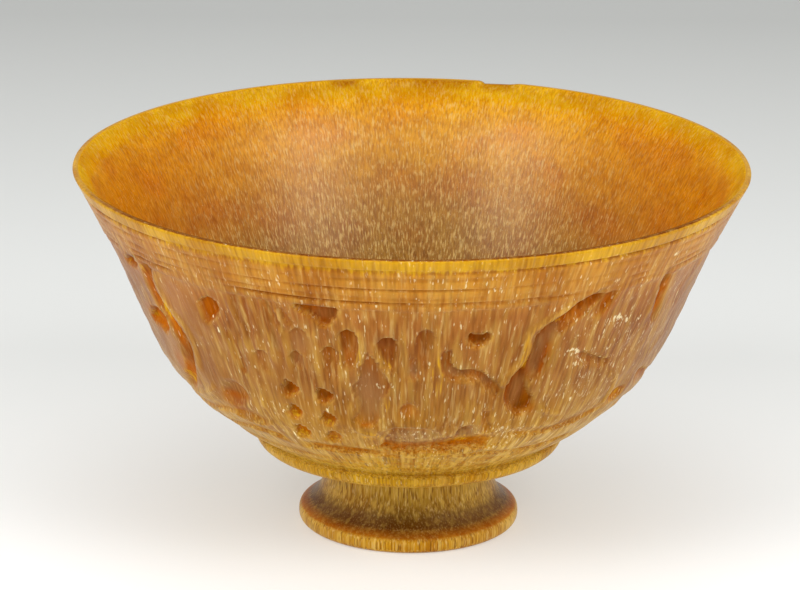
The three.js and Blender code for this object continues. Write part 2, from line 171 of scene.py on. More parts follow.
# Pockets: outline of (turn, height), depth, and how wide the slope inside the outline is.
POCKETS = (
    (((-20.9, 65.9), (-18.2, 66.1), (-13.5, 65.9), (-12.9, 64.8), (-13.9, 63), (-15.5, 61.4),
     (-16.5, 61.6), (-17.7, 63.2), (-19.8, 64.5)), 1.5, 0.8),
    (((-42.5, 61.8), (-41.4, 63.2), (-39.5, 63.6), (-38, 63), (-37.5, 61.6), (-38.2, 59.8), (-39.5, 58.7),
     (-41.1, 57.3), (-42.5, 56.9), (-43.1, 58.5), (-42.9, 60.3)), 1.2, 1.2),
    (((-66.8, 50.7), (-65, 53.5), (-62.3, 54.8), (-59.5, 55.1), (-57.9, 53.9), (-57.5, 52.1),
     (-58.6, 50.3), (-60.9, 49.1), (-63.2, 50)), 1.1, 1.3),
    (((-66, 63.8), (-65, 66.3), (-62, 67), (-59.5, 67), (-60, 64.5), (-63, 63.3)), 1.1, 1.2),
    (((10.7, 59.8), (12.3, 60.5), (14.4, 60.2), (14.9, 58.7), (13.8, 57.3), (12.1, 57.1), (10.9, 58.2)),
     1.6, 1),
    (((-8.2, 55.6), (-7.1, 55), (-6.1, 53), (-5.3, 51), (-3.8, 48.2), (-4.6, 46), (-5.6, 44.4), (-6, 42),
     (-6.1, 39.8), (-7.4, 38.2), (-9.2, 37.6), (-11.2, 37.9), (-12.2, 39.2), (-11, 41), (-10.7, 43.4),
     (-12, 46), (-11.4, 47.8), (-10.1, 49.2), (-9.8, 51.6), (-8.9, 54)), 0.75, 1),
    (((19.9, 46.4), (20.3, 48.2), (21.2, 49.5), (23.1, 50.6), (24.6, 48.2), (25.1, 45.8), (27, 43.2),
     (27.4, 41.2), (26.2, 39.4), (24, 39.2), (22.4, 40.4), (21.1, 42.8)), 1.7, 1.2),
    (((-47.2, 37.6), (-46, 40), (-43.9, 43), (-40.7, 43.9), (-38, 42.4), (-37.3, 39.9), (-39.2, 38),
     (-42.5, 36.5), (-45.4, 36.2)), 1, 2.4),
    (((-27.3, 43), (-27.4, 45.6), (-26.4, 46.8), (-24.9, 46.1), (-23.6, 44.9), (-25, 43.7)), 1.3, 0.9),
    (((-28, 38), (-27.7, 40.2), (-26.4, 41.1), (-25, 40.3), (-24.3, 39), (-25.7, 37.6)), 1.3, 0.9),
    (((-28.4, 33.4), (-27.7, 35.1), (-26.6, 35.7), (-24.7, 34.7), (-24.2, 33.3), (-25.6, 32.2),
     (-27.5, 32.2)), 1.2, 0.9),
    (((-19.9, 43.2), (-19.9, 45), (-18.7, 46.1), (-17.2, 45.5), (-15.9, 44.2), (-18, 42.6)), 1.2, 0.9),
    (((-20.2, 38.2), (-19.9, 39.4), (-18.5, 40.2), (-16.9, 39.5), (-16.3, 38.4), (-18.3, 36.9)), 1.2,
     0.9),
    (((-20.6, 33), (-19.6, 34.4), (-18, 35.1), (-16.4, 34.2), (-16.6, 32.9), (-18.6, 32.2)), 0.9, 0.9),
)

# The first thumb pits and the last pockets stand on both sides too, turned by these angles.
THUMB_ROW = 4
SIDE_THUMBS = (110, -99)
SMALL_PITS = 6
SIDE_PITS = (129, -79)

# Hollows: turn and height of the middle, width, height, depth, how steep the walls are.
HOLLOWS = (
    (55, 37.8, 5.6, 4.6, 1.0, 2),
    (-36.4, 47.2, 1.0, 0.9, 0.6, 3),
    (13, 36.0, 3.6, 3.0, 1.5, 2),
)

# The rim's old losses: first and last turn, depth at both, and whether the loss is on the inner edge alone.
RIM_LOSSES = (
    (159.6, 167.3, 0.25, 0.65, False),
    (167.3, 181.5, 0.35, 0.15, True),
    (189.0, 197.0, 0.3, 0.2, True),
)

# Soft round patches of the look, each as turn and height of its middle, half width, half height, strength.
PATCHES = {
    # Surfaces rubbed to pale flecks.
    "worn": (
        (33.6, 53.4, 2.4, 1.4, 0.75), (36, 50.6, 1.8, 1.4, 0.7), (33.6, 57, 2.2, 1.4, 0.55),
        (41.6, 59, 3.4, 1.6, 0.7), (44.8, 58.6, 2.4, 2, 0.7), (45, 50, 11, 10, 0.5),
        (49, 57.6, 1.4, 0.8, 0.75), (37, 43, 6, 5, 0.5), (-6, 48.2, 1.4, 1.1, 0.62),
        (-9.6, 47.6, 1.6, 1.4, 0.6), (-3.5, 48.4, 0.6, 1, 0.7), (-48, 50.6, 1.8, 1, 0.6),
        (24, 35, 5, 3, 0.6), (40, 31, 12, 3.6, 0.45), (0.5, 35.5, 6, 1.6, 0.6),
        (-39.9, 58.6, 0.35, 1.8, 1), (-39.3, 56.4, 0.35, 1.4, 1), (-28.8, 32.6, 0.4, 1.8, 1),
        (21.8, 43.6, 1.6, 0.25, 1), (-28.8, 39.2, 0.6, 0.7, 0.9), (-17.6, 41.2, 0.5, 1.2, 0.8),
        (52, 71.5, 1.2, 1, 0.8), (-8, 31.5, 1.8, 2.4, 0.5),
    ),
    # Stretches of cuts that are left rough, and so look dull grey brown.
    "dull": (
        (22.3, 46, 1.6, 4, 0.6), (25, 54.6, 1.5, 4.8, 0.85), (27, 59.5, 1.4, 2.6, 0.6),
        (0.8, 34.8, 6.4, 2.6, 1), (13.2, 36.2, 2.4, 1.6, 0.95), (-42, 42.4, 3.4, 1.4, 0.7),
        (-8.3, 46, 3, 6, 0.75), (-21.2, 57.2, 1.6, 2.6, 0.5), (9.4, 52.2, 2.4, 1.3, 0.6),
        (-15.2, 64.8, 2.4, 1.2, 0.5), (15.5, 49.6, 1.6, 1, 0.5), (-4.2, 58.8, 1.6, 1.6, 0.3),
        (0.8, 52, 0.9, 1.9, 0.7), (-22.4, 53, 1.8, 1.8, 0.4), (-42, 38, 3.6, 1.4, 0.4),
    ),
    # Slopes of cuts that the light comes through, and so look orange.
    "lit": (
        (-56.4, 61, 2, 5, 0.6), (-54, 53, 1.6, 4.6, 0.9), (-57.5, 42.5, 3.4, 3.4, 0.9),
        (-62, 52.4, 4.4, 2.8, 1), (-63, 65, 3.4, 2, 0.9), (-40, 60.6, 2.8, 3.4, 0.65),
        (-16.5, 64.2, 3.6, 2, 0.65), (-26.3, 33.4, 2.4, 1.4, 0.25), (-18.4, 33.4, 2.4, 1.4, 0.15),
        (-26.2, 39, 2.2, 1.2, 0.2), (-18.4, 38, 2.2, 1.2, 0.15), (-25.8, 44.4, 2, 1, 0.3),
        (-18.2, 43.8, 2, 1, 0.3), (-9.5, 37.8, 2.6, 0.7, 0.7), (-0.2, 42.2, 2, 1.8, 0.3),
        (0.8, 50.6, 1, 1, 0.6), (-11.6, 55, 1, 3.2, 0.25), (12.8, 58.2, 1.8, 1, 0.5),
        (-43.5, 38.6, 3.6, 2.2, 0.6), (27.2, 52, 1.1, 4, 0.95), (26.2, 40.8, 1.5, 1.8, 1),
        (30.8, 62.2, 2.4, 1.6, 0.5), (38, 63.2, 1.5, 2.6, 1), (53.7, 61.5, 1.4, 5, 1),
        (55, 37.6, 3, 1.8, 0.4),
    ),
    # Places beside the cuts that the light comes through too.
    "spill": (
        (27, 52.5, 0.9, 3.4, 0.85), (26.7, 41, 0.9, 1.2, 0.95), (38, 63, 0.8, 2, 0.9),
        (53.8, 61.5, 0.8, 4.4, 0.9), (-26.8, 33.3, 1, 0.7, 0.3), (-62.5, 52.4, 1.6, 1.2, 0.8),
    ),
    # Stretches that were cut clean and polished, where the filaments show least.
    "smooth": (
        (-47.5, 58, 7, 8, 0.9), (-60, 46, 6, 7, 0.9), (-47, 44, 6, 8, 0.7), (-27, 49, 6, 7, 0.5),
        (-8.3, 45, 3, 7, 0.5), (-22, 57, 3, 4, 0.6), (-22, 37, 7, 6, 0.5), (50, 62, 3, 3, 0.4),
        (133, 52, 12, 12, 0.5), (-122, 52, 12, 12, 0.5), (-150, 56, 8, 8, 0.4), (222, 56, 9, 9, 0.7),
    ),
    # Floors that lie deep in shade, painted dark, and last a dark notch in the band under the lip.
    "shade": (
        (23.6, 42.6, 2.2, 3.2, 0.45), (24.2, 42, 1.4, 1.2, 0.7), (-26.2, 45.7, 1.5, 1, 0.5),
        (-18.2, 45.2, 1.5, 0.9, 0.4), (-26.5, 40.2, 1.4, 0.6, 0.4), (-18.3, 39.5, 1.4, 0.6, 0.4),
        (13.2, 59.4, 1.6, 0.8, 0.4), (26.4, 41, 1.2, 1.4, 0.4), (27.4, 52, 1, 2.4, 0.4),
        (37.6, 63.2, 1.2, 2, 0.4), (-58.9, 67.1, 1, 0.5, 1),
    ),
    # Thin stretches of the carving that the light comes through, and so look yellow.
    "thin": (
        (-54.6, 57, 1.8, 3, 0.75), (-53, 53, 1.2, 3, 0.6), (-57.2, 65, 1.6, 1.6, 0.6),
        (-58.6, 40, 3.6, 2, 0.75), (-64, 65.6, 3, 1.4, 0.6), (-63, 53, 3.4, 1.2, 0.6),
        (22.7, 54.5, 1.1, 5, 0.8), (26.5, 61.8, 2.2, 1, 0.6), (54, 38.6, 2.4, 1.2, 0.6),
        (-9.8, 54, 0.7, 3.6, 0.65), (-4.4, 53.4, 1.6, 2.4, 0.5), (5.6, 50, 1.4, 7, 0.55),
        (-4.6, 43.6, 0.8, 2.6, 0.6), (-8.5, 34.6, 3.6, 1.6, 0.65), (12, 34, 3, 1.6, 0.6),
        (-26.6, 33.2, 1.7, 1.1, 0.85), (-18.3, 33.2, 1.5, 1, 0.75), (-26, 38.8, 1.5, 0.9, 0.85),
        (-18, 37.9, 1.4, 0.9, 0.8), (-25.4, 44.2, 1.3, 0.8, 0.65), (-17.6, 43.7, 1.2, 0.8, 0.6),
    ),
}

# The look's masks, which a piece of horn carries as vertex attributes.
MASKS = ("carved", "thin", "worn", "inside", "bruise", "facing_up", "dull", "ridge", "smooth")

# From this depth on a cut has its full colour, in mm.
FULL_CUT = 1.15

# Steps in one slice of a turned form, and round the foot.
SLICE_STEPS = 22
FOOT_STEPS = 286

# Fine flutes to the left of the thumb row: middle as turn and height, half width, half height, the turn from
# one to the next and half their depth.
FLUTES = (-29.5, 56, 7.5, 9.5, 3.1, 0.13)

# How far to both sides of a place its edges are felt for, in mm, and the share of that up and down the wall.
EDGE_REACH = 0.7
EDGE_RISE_SHARE = 0.8


def linear(code):
    """The linear colour of an sRGB hex code."""
    channels = [int(code[i:i + 2], 16) / 255 for i in (1, 3, 5)]
    return tuple(c / 12.92 if c <= 0.04045 else ((c + 0.055) / 1.055) ** 2.4 for c in channels) + (1.0,)


def length(name, description, default):
    """A length that a user can change, with its default in mm."""
    return bpy.props.FloatProperty(
        name=name, description=description, unit="LENGTH", default=float(default) * MM)


def colour(name, description, code):
    """A colour that a user can change, with its default as an sRGB hex code."""
    return bpy.props.FloatVectorProperty(
        name=name, description=description, subtype="COLOR", size=4, min=0, max=1, default=linear(code))


class CupSizes(bpy.types.PropertyGroup):
    """Sizes of the turned forms, in metres."""
    mouth_radius: length("Mouth radius", "Widest radius, at the rim", BOWL_HIGH[0])
    rim_height: length("Rim height", "Height of the rim over the table", BOWL_HIGH[2])
    seat_height: length("Seat height", "Height of the bowl's underside over the table", BOWL_LOW[2])
    rim_face: length("Rim face", "Width of the polished face on top of the wall", 1.6)
    ground_depth: length("Ground depth", "How far the frieze's ground lies behind the turned wall", 0.4)
    foot_radius: length("Foot radius", "Widest radius of the foot", FOOT_HIGH[0])
    foot_height: length("Foot height", "From the table to the foot's shoulder", 16.9)
    waist_radius: length("Waist radius", "Radius of the foot's waist", 17.4)
    turn_steps: bpy.props.IntProperty(
        name="Turn steps", description="Steps round the bowl", default=616, min=44)


class HornColours(bpy.types.PropertyGroup):
    """Colours of the horn as the eye sees them."""
    filament: colour("Filament", "Pale cut filaments", "#E0C078")
    # Painted glow of the thin ridges between the cuts and of the sides of the collar and foot; also the olive
    # colour of filament bundles.
    ridge: colour("Ridge", "Thin ridges between the cuts", "#D6AE4E")
    # Painted glints of torn filament ends that catch the light, and the pale flecks of worn places.
    glint_and_fleck: colour("Sparkle", "Torn filament ends that catch the light", "#EFDFB0")
    # The deeper orange of the cut horn, with painted shade in the hollows.
    deep: colour("Deep cut", "Floor of the carved hollows", "#944C0A")
    low_deep: colour("Low deep cut", "Floor of the hollows near the collar", "#BC7208")
    glow: colour("Thin edge", "Thin edges that let light through", "#D4A41A")
    orange: colour("Lit cut", "Slopes of the cuts that face the light", "#BE6606")
    # Painted light: the deeper orange at both sides of the inner wall as seen from the front.
    inner_orange: colour("Inner sides", "The polished inner wall at both sides", "#D27C08")
    # Rough cuts on the bowl, and on the foot also the lighter sides of the flare, as painted light.
    dull: colour("Rough cut", "Cuts that were left rough", "#9C7650")
    # Also the colour of painted shade and of the darkened rim losses.
    shade: colour("Dark filament", "Dark filaments between the pale ones", "#6A3C0C")


def short_way(degrees):
    """The same turn between -180 and 180 degrees."""
    return (degrees + 180) % 360 - 180


def smooth_step(value):
    """0 below 0, 1 above 1, and a soft rise between them."""
    value = np.clip(value, 0, 1)
    return value * value * (3 - 2 * value)


def curve_points(start, first, second, end, count):
    """Points of a smooth curve from start to end that two handles pull on."""
    t = np.linspace(0, 1, count)[:, None]
    start, first, second, end = (np.array(p, float) for p in (start, first, second, end))
    return (1 - t) ** 3 * start + 3 * (1 - t) ** 2 * t * first + 3 * (1 - t) * t * t * second + t ** 3 * end


def run_along(points):
    """The length of a line of points up to each of them."""
    return np.concatenate([[0], np.cumsum(np.hypot(*np.diff(points, axis=0).T))])


def respaced(points, gap):
    """The same curve with its points about one gap apart."""
    run = run_along(points)
    marks = np.linspace(0, run[-1], max(2, round(run[-1] / gap) + 1))
    return np.stack([np.interp(marks, run, points[:, 0]), np.interp(marks, run, points[:, 1])], axis=1)


def smooth_route(route, gap=0.5):
    """A route's points joined by a curve that passes through them all."""
    knots = np.array(route, float)
    knots = np.vstack([2 * knots[0] - knots[1], knots, 2 * knots[-1] - knots[-2]])
    spans = []
    for a, b, c, d in zip(knots, knots[1:], knots[2:], knots[3:]):
        t = np.linspace(0, 1, max(2, int(np.abs(c - b).max() / gap)), endpoint=False)[:, None]
        spans.append(0.5 * (2 * b + (c - a) * t + (2 * a - 5 * b + 4 * c - d) * t ** 2
                            + (3 * b - a - 3 * c + d) * t ** 3))
    return np.vstack(spans + [knots[-2:-1]])


class Wall:
    """The outside of the turned wall: how high, how far out and how far up along it every point lies."""

    def __init__(self, sizes):
        collar = np.array([COLLAR_RADIUS, sizes.seat_height / MM + COLLAR_HEIGHT])
        rim = np.array([sizes.mouth_radius / MM, sizes.rim_height / MM - 0.4])
        reach = rim - collar
        self.points = curve_points(
            collar, collar + reach * (0.65, 0.25), collar + reach * (0.5, 0.37), rim, 600)
        self.rise = run_along(self.points)

    def rise_at(self, height):
        return np.interp(height, self.points[:, 1], self.rise)


class Carving:
    """The depth cut into the wall at each vertex, gathered cut by cut."""

    def __init__(self, wall, turn, height, radius):
        self.wall = wall
        self.turn = turn
        self.radius = radius
        self.rise = wall.rise_at(height)
        self.cut = np.zeros(len(turn))
        self.bank = np.zeros(len(turn))

    def aside(self, turn):
        """Distance round the wall from a turn, the short way, in mm."""
        return np.radians(short_way(self.turn - turn)) * self.radius

    def near(self, route, reach):
        turns = np.array(route)[:, 0]
        rises = self.wall.rise_at(np.array(route)[:, 1])
        half = np.radians(np.ptp(turns) / 2) * self.radius + reach
        return (np.abs(self.aside(turns.mean())) < half) & (self.rise > rises.min() - reach) & (
            self.rise < rises.max() + reach)

    def along(self, route, reach):
        """For the vertices near a route: distance to it, side of it, and run from both its ends."""
        chosen = np.flatnonzero(self.near(route, reach + 2))
        line = smooth_route(route)
        rises = self.wall.rise_at(line[:, 1])
        aside = np.radians(short_way(self.turn[chosen, None] - line[None, :, 0])) * self.radius[chosen, None]
        above = self.rise[chosen, None] - rises[None, :]
        nearest = np.argmin(aside ** 2 + above ** 2, axis=1)
        rows = np.arange(len(chosen))
        radius = np.interp(rises, self.wall.rise, self.wall.points[:, 0])
        ahead = np.stack([np.gradient(np.radians(line[:, 0])) * radius, np.gradient(rises)], axis=1)
        run = np.concatenate([[0], np.cumsum(np.hypot(*(ahead[1:].T)))])
        side = ahead[nearest, 0] * above[rows, nearest] - ahead[nearest, 1] * aside[rows, nearest]
        distance = np.hypot(aside[rows, nearest], above[rows, nearest])
        return chosen, distance, side > 0, run[nearest], run[-1] - run[nearest]

    def gouge(self, route, depth, wide, steep, other_wide, other_steep, fade_in, fade_out):
        """A cut along a route, with a slope of its own on each side."""
        chosen, distance, right, gone, left = self.along(route, max(wide, other_wide))
        share = distance / np.where(right, wide, other_wide)
        slope = np.where(right, steep, other_steep)
        floor = 1 - np.minimum(share, 1) ** slope
        ends = np.sqrt(smooth_step((gone + 0.3) / fade_in) * smooth_step((left + 0.3) / fade_out))
        self.cut[chosen] = np.maximum(self.cut[chosen], depth * floor * ends)

    def raise_bank(self, route, rise, half_width, fade):
        """A rounded bank left standing along a route."""
        chosen, distance, _, gone, left = self.along(route, half_width)
        crest = np.clip(1 - (distance / half_width) ** 2, 0, 1) ** 1.5
        ends = smooth_step(gone / fade) * smooth_step(left / fade)
        self.bank[chosen] = np.maximum(self.bank[chosen], rise * crest * ends)

    def thumb(self, turn, top, width, length, depth, left_share):
        """An arched pit, cut deepest under its top and running out downwards."""
        across = self.aside(turn) / (width / 2)
        bow = np.clip(1 - across ** 2, 0, 1)
        down = self.wall.rise_at(top) - self.rise
        arch = min(0.7 * width, 3.2) * (1 - np.sqrt(bow))
        inside = smooth_step((down - arch) / 0.6) * bow ** 0.6
        along = np.clip((down - arch) / length, 0, 1)
        fade = (1 - (1 - left_share) * along) * smooth_step((1 - along) / 0.25)
        self.cut = np.maximum(self.cut, 1.5 * depth * inside * fade)

    def pocket(self, outline, depth, slope_width):
        """A pocket with an even slope inside its smooth outline."""
        chosen = np.flatnonzero(self.near(outline, 2))
        ring = smooth_route(outline + outline[:3], 0.3)
        turns = np.radians(short_way(ring[:, 0] - ring[0, 0]))
        rises = self.wall.rise_at(ring[:, 1])
        here = np.radians(short_way(self.turn[chosen] - ring[0, 0]))[:, None]
        rise = self.rise[chosen][:, None]
        aside = (here - turns) * self.radius[chosen, None]
        distance = np.sqrt((aside ** 2 + (rise - rises) ** 2).min(axis=1))
        # A place lies within where a line to one side of it crosses the ring an odd number of times.
        next_turns, next_rises = np.roll(turns, -1), np.roll(rises, -1)
        crosses = (rises > rise) != (next_rises > rise)
        step = np.where(next_rises == rises, 1e-9, next_rises - rises)
        meets = turns + (rise - rises) * (next_turns - turns) / step
        within = (crosses & (here < meets)).sum(axis=1) % 2 == 1
        floor = depth * smooth_step((np.where(within, distance, -distance) + 0.3) / slope_width)
        self.cut[chosen] = np.maximum(self.cut[chosen], floor)

    def hollow(self, turn, height, width, tall, depth, steep):
        """A round hollow."""
        up = self.rise - self.wall.rise_at(height)
        share = np.hypot(self.aside(turn) / (width / 2), up / (tall / 2))
        self.cut = np.maximum(self.cut, depth * (1 - np.minimum(share, 1) ** steep))


def at_back(route):
    """Where a motif of the front stands on the back: seen in a mirror and turned half round."""
    return tuple((180 - turn, height) for turn, height in route)


def carved(wall, turn, height, radius):
    """The carving of the photographed front, the sides and the back at each place."""
    carving = Carving(wall, turn, height, radius)
    for route, depth, *shape in CUTS:
        carving.gouge(route, depth, *shape)
        if max(abs(turn) for turn, _ in route) < BACK_LIMIT:
            wide, steep, other_wide, other_steep, *fades = shape
            carving.gouge(at_back(route), depth, other_wide, other_steep, wide, steep, *fades)
    for route, *bank in BANKS:
        carving.raise_bank(route, *bank)
        carving.raise_bank(at_back(route), *bank)
    for outline, *pocket in POCKETS:
        carving.pocket(outline, *pocket)
        carving.pocket(at_back(outline), *pocket)
    for side in SIDE_PITS:
        for outline, *pocket in POCKETS[-SMALL_PITS:]:
            carving.pocket(tuple((turn + side, height) for turn, height in outline), *pocket)
    for turn, *pit in THUMBS:
        carving.thumb(turn, *pit)
        carving.thumb(180 - turn, *pit)
    for side in SIDE_THUMBS:
        for turn, *pit in THUMBS[:THUMB_ROW]:
            carving.thumb(turn + side, *pit)
    for turn, *pit in HOLLOWS:
        carving.hollow(turn, *pit)
        carving.hollow(180 - turn, *pit)
    return carving


def drifting(points, size, seed):
    """Slow unevenness from -1 to 1 at each point, with swells about one size across, in mm."""
    offset = Vector((seed * 7.3, seed * 3.1, seed * 5.7))
    return np.array([noise.noise(Vector(p) / size + offset) for p in points])


def string_line_depth(turn, height, unevenness):
    """Depth share of the turned lines in the band, broken and shallow away from where they are cut clean."""
    depth = np.zeros(len(turn))
    front = short_way(turn)
    for line_height, first, last, share in STRING_LINES:
        middle, half = (first + last) / 2, (last - first) / 2
        clean = smooth_step((half + 4 - np.abs(front - middle)) / 8)
        broken = 0.15 + 0.6 * smooth_step(0.4 + 1.4 * unevenness)
        wander = 0.12 * np.sin(np.radians(front * 3 + line_height * 40)) + 0.1 * unevenness
        off = np.abs(height - line_height - wander) / (STRING_LINE_WIDTH / 2)
        depth = np.maximum(depth, share * np.maximum(clean, broken) * np.clip(1 - off, 0, 1))
    return depth


class Relief:
    """What the tools did at each vertex of the outer wall: depth cut away, and how the cuts lie there."""

    def __init__(self, wall, places, turn, ground_depth):
        self.turn = turn
        self.height = height = places[:, 2]
        self.radius = radius = np.hypot(places[:, 0], places[:, 1])
        self.uneven = drifting(places, 9.0, 1)
        self.fine = drifting(places, 3.2, 2)
        self.in_frieze = smooth_step((FRIEZE_TOP + 0.35 * self.uneven - height) / 0.6) * smooth_step(
            (height - FRIEZE_FOOT) / 2)
        carving = carved(wall, turn, height, radius)
        self.raw_cut = carving.cut
        self.bank = carving.bank
        self.cut = carving.cut * np.clip(self.in_frieze + 0.4, 0, 1)
        self.feel_edges(wall)
        self.lines = string_line_depth(turn, height, 0.7 * self.uneven + 0.7 * self.fine)
        self.foot_lines = np.max([
            np.clip(1 - np.abs(height - line) / FOOT_LINE_REACH, 0, 1) for line in FOOT_LINES], axis=0)
        # The ground is uneven, and fluted to the left of the thumb row.
        ground = ground_depth * (0.8 + 0.8 * self.uneven) + 0.16 * self.fine
        middle, middle_height, wide, tall, spacing, swing = FLUTES
        flutes = swing * (1 - np.cos(np.radians((turn - (middle - wide)) * 360 / spacing)))
        fluted = smooth_step((wide - np.abs(turn - middle)) / 2) * smooth_step(
            (tall - np.abs(height - middle_height)) / 4)
        self.depth = (self.in_frieze * (ground + flutes * fluted - self.bank) + self.cut
                      + STRING_LINE_DEPTH * self.lines
                      + FOOT_LINE_DEPTH * self.foot_lines * (0.6 + 0.6 * self.uneven))

    def feel_edges(self, wall):
        """How the cuts slope up the wall, and where a place stands over its neighbours."""
        aside = np.degrees(EDGE_REACH / self.radius)
        rise = EDGE_RISE_SHARE * EDGE_REACH
        above, below, left, right = (
            carved(wall, self.turn + across, self.height + up, self.radius).cut
            for across, up in ((0, rise), (0, -rise), (-aside, 0), (aside, 0)))
        self.slope = (above - below) / (2 * EDGE_REACH)
        self.crest = np.clip(((above + below + left + right) / 4 - self.raw_cut) / 0.3, 0, 1)

    def patches(self, name):
        """How strongly each vertex lies in a table's soft round patches, as the front's viewer sees them."""
        slant = np.tan(np.radians(np.clip(self.turn, -70, 70))) * (np.abs(self.turn) < 90)
        turn = self.turn - np.degrees(self.depth / self.radius) * slant
        height = self.height + 0.85 * self.depth
        mask = np.zeros(len(turn))
        for middle, middle_height, wide, tall, strength in PATCHES[name]:
            aside = np.radians(short_way(turn - middle)) * self.radius
            off = np.hypot(aside / wide, (height - middle_height) / tall)
            mask = np.maximum(mask, strength * smooth_step(1.5 - off))
        return mask


def linked_piece(name, bm):
    """A piece of the scene from its finished bmesh."""
    mesh = bpy.data.meshes.new(name)
    bm.to_mesh(mesh)
    bm.free()
    mesh.shade_smooth()
    piece = bpy.data.objects.new(name, mesh)
    bpy.context.scene.collection.objects.link(piece)
    return piece


def spun(name, outline, steps):
    """A closed turned form from its outline in mm, with each vertex's place in the outline as its row."""
    bm = bmesh.new()
    row = bm.verts.layers.int.new("row")
    verts = []
    for i, (out, up) in enumerate(outline):
        vert = bm.verts.new((out * MM, 0, up * MM))
        vert[row] = i
        verts.append(vert)
    edges = [bm.edges.new(pair) for pair in zip(verts, verts[1:])]
    # A slice is spun first and then repeated round the axis, which is much quicker than one long spin.
    slices = steps // SLICE_STEPS
    middle = {"cent": (0, 0, 0), "axis": (0, 0, 1), "dvec": (0, 0, 0), "use_merge": False}
    bmesh.ops.spin(bm, geom=verts + edges, angle=2 * math.pi / slices, steps=SLICE_STEPS,
                   use_duplicate=False, **middle)
    bmesh.ops.spin(bm, geom=bm.verts[:] + bm.edges[:] + bm.faces[:], steps=slices - 1, use_duplicate=True,
                   angle=2 * math.pi * (slices - 1) / slices, **middle)
    bmesh.ops.remove_doubles(bm, verts=bm.verts, dist=1e-6)
    bmesh.ops.recalc_face_normals(bm, faces=bm.faces)
    return linked_piece(name, bm)


def vertex_places(mesh):
    """The vertices' places in mm, and their rows in the outline."""
    co = np.empty(len(mesh.vertices) * 3)
    mesh.vertices.foreach_get("co", co)
    row = np.empty(len(mesh.vertices), dtype=np.int32)
    mesh.attributes["row"].data.foreach_get("value", row)
    return co.reshape(-1, 3) / MM, row


def write_places(mesh, places):
    mesh.vertices.foreach_set("co", (places * MM).ravel())
    mesh.update()


def write_masks(mesh, masks):
    """Masks of the look as vertex attributes, in place of the rows."""
    for name, values in masks.items():
        layer = mesh.attributes.new(name, "FLOAT", "POINT")
        layer.data.foreach_set("value", np.clip(values, 0, 1).astype(np.float32))
    mesh.attributes.remove(mesh.attributes["row"])


def outline_normals(outline):
    """The direction straight out of the form at each point of an outline that runs up the outside."""
    ahead = np.gradient(outline, axis=0)
    out = np.stack([ahead[:, 1], -ahead[:, 0]], axis=1)
    return out / np.maximum(np.hypot(*out.T), 1e-9)[:, None]


class Nodes:
    """A material's nodes. Each way to add one gives back the socket that the next node takes."""

    def __init__(self, name):
        self.material = bpy.data.materials.new(name)
        self.material.use_nodes = True
        self.tree = self.material.node_tree
        self.tree.nodes.clear()

    def add(self, kind, settings=(), links=(), out=0):
        """A node with its settings, and its inputs as values or as the sockets they come from."""
        node = self.tree.nodes.new("ShaderNode" + kind)
        for name, value in dict(settings).items():
            setattr(node, name, value)
        for name, value in dict(links).items():
            if isinstance(value, bpy.types.NodeSocket):
                self.tree.links.new(value, node.inputs[name])
            else:
                node.inputs[name].default_value = value
        return node.outputs[out]

    def finish(self, surface):
        output = self.tree.nodes.new("ShaderNodeOutputMaterial")
        self.tree.links.new(surface, output.inputs["Surface"])
        return self.material

    def math(self, operation, *values, clamp=False):
        return self.add("Math", {"operation": operation, "use_clamp": clamp}, enumerate(values))

    def times(self, first, *others):
        for other in others:
            first = self.math("MULTIPLY", first, other)
        return first

    def one_plus(self, gain, value, clamp=False):
        return self.math("MULTIPLY_ADD", value, gain, 1.0, clamp=clamp)

    def span(self, value, low, high):
        """How far the value is from low to high, kept between 0 and 1."""
        return self.add("MapRange", links={"Value": value, "From Min": low, "From Max": high})

    def ramp(self, factor, *stops):
        """A colour ramp through stops of (place, hex colour or grey value)."""
        out = self.add("ValToRGB", links={"Fac": factor})
        elements = out.node.color_ramp.elements
        elements.remove(elements[-1])
        for i, (place, tone) in enumerate(stops):
            element = elements[0] if i == 0 else elements.new(place)
            element.position = place
            element.color = linear(tone) if isinstance(tone, str) else (tone, tone, tone, 1)
        return out

    def mix(self, factor, first, second, blend="MIX"):
        return self.add("Mix", {"data_type": "RGBA", "blend_type": blend, "clamp_factor": True},
                        {0: factor, 6: first, 7: second}, out=2)


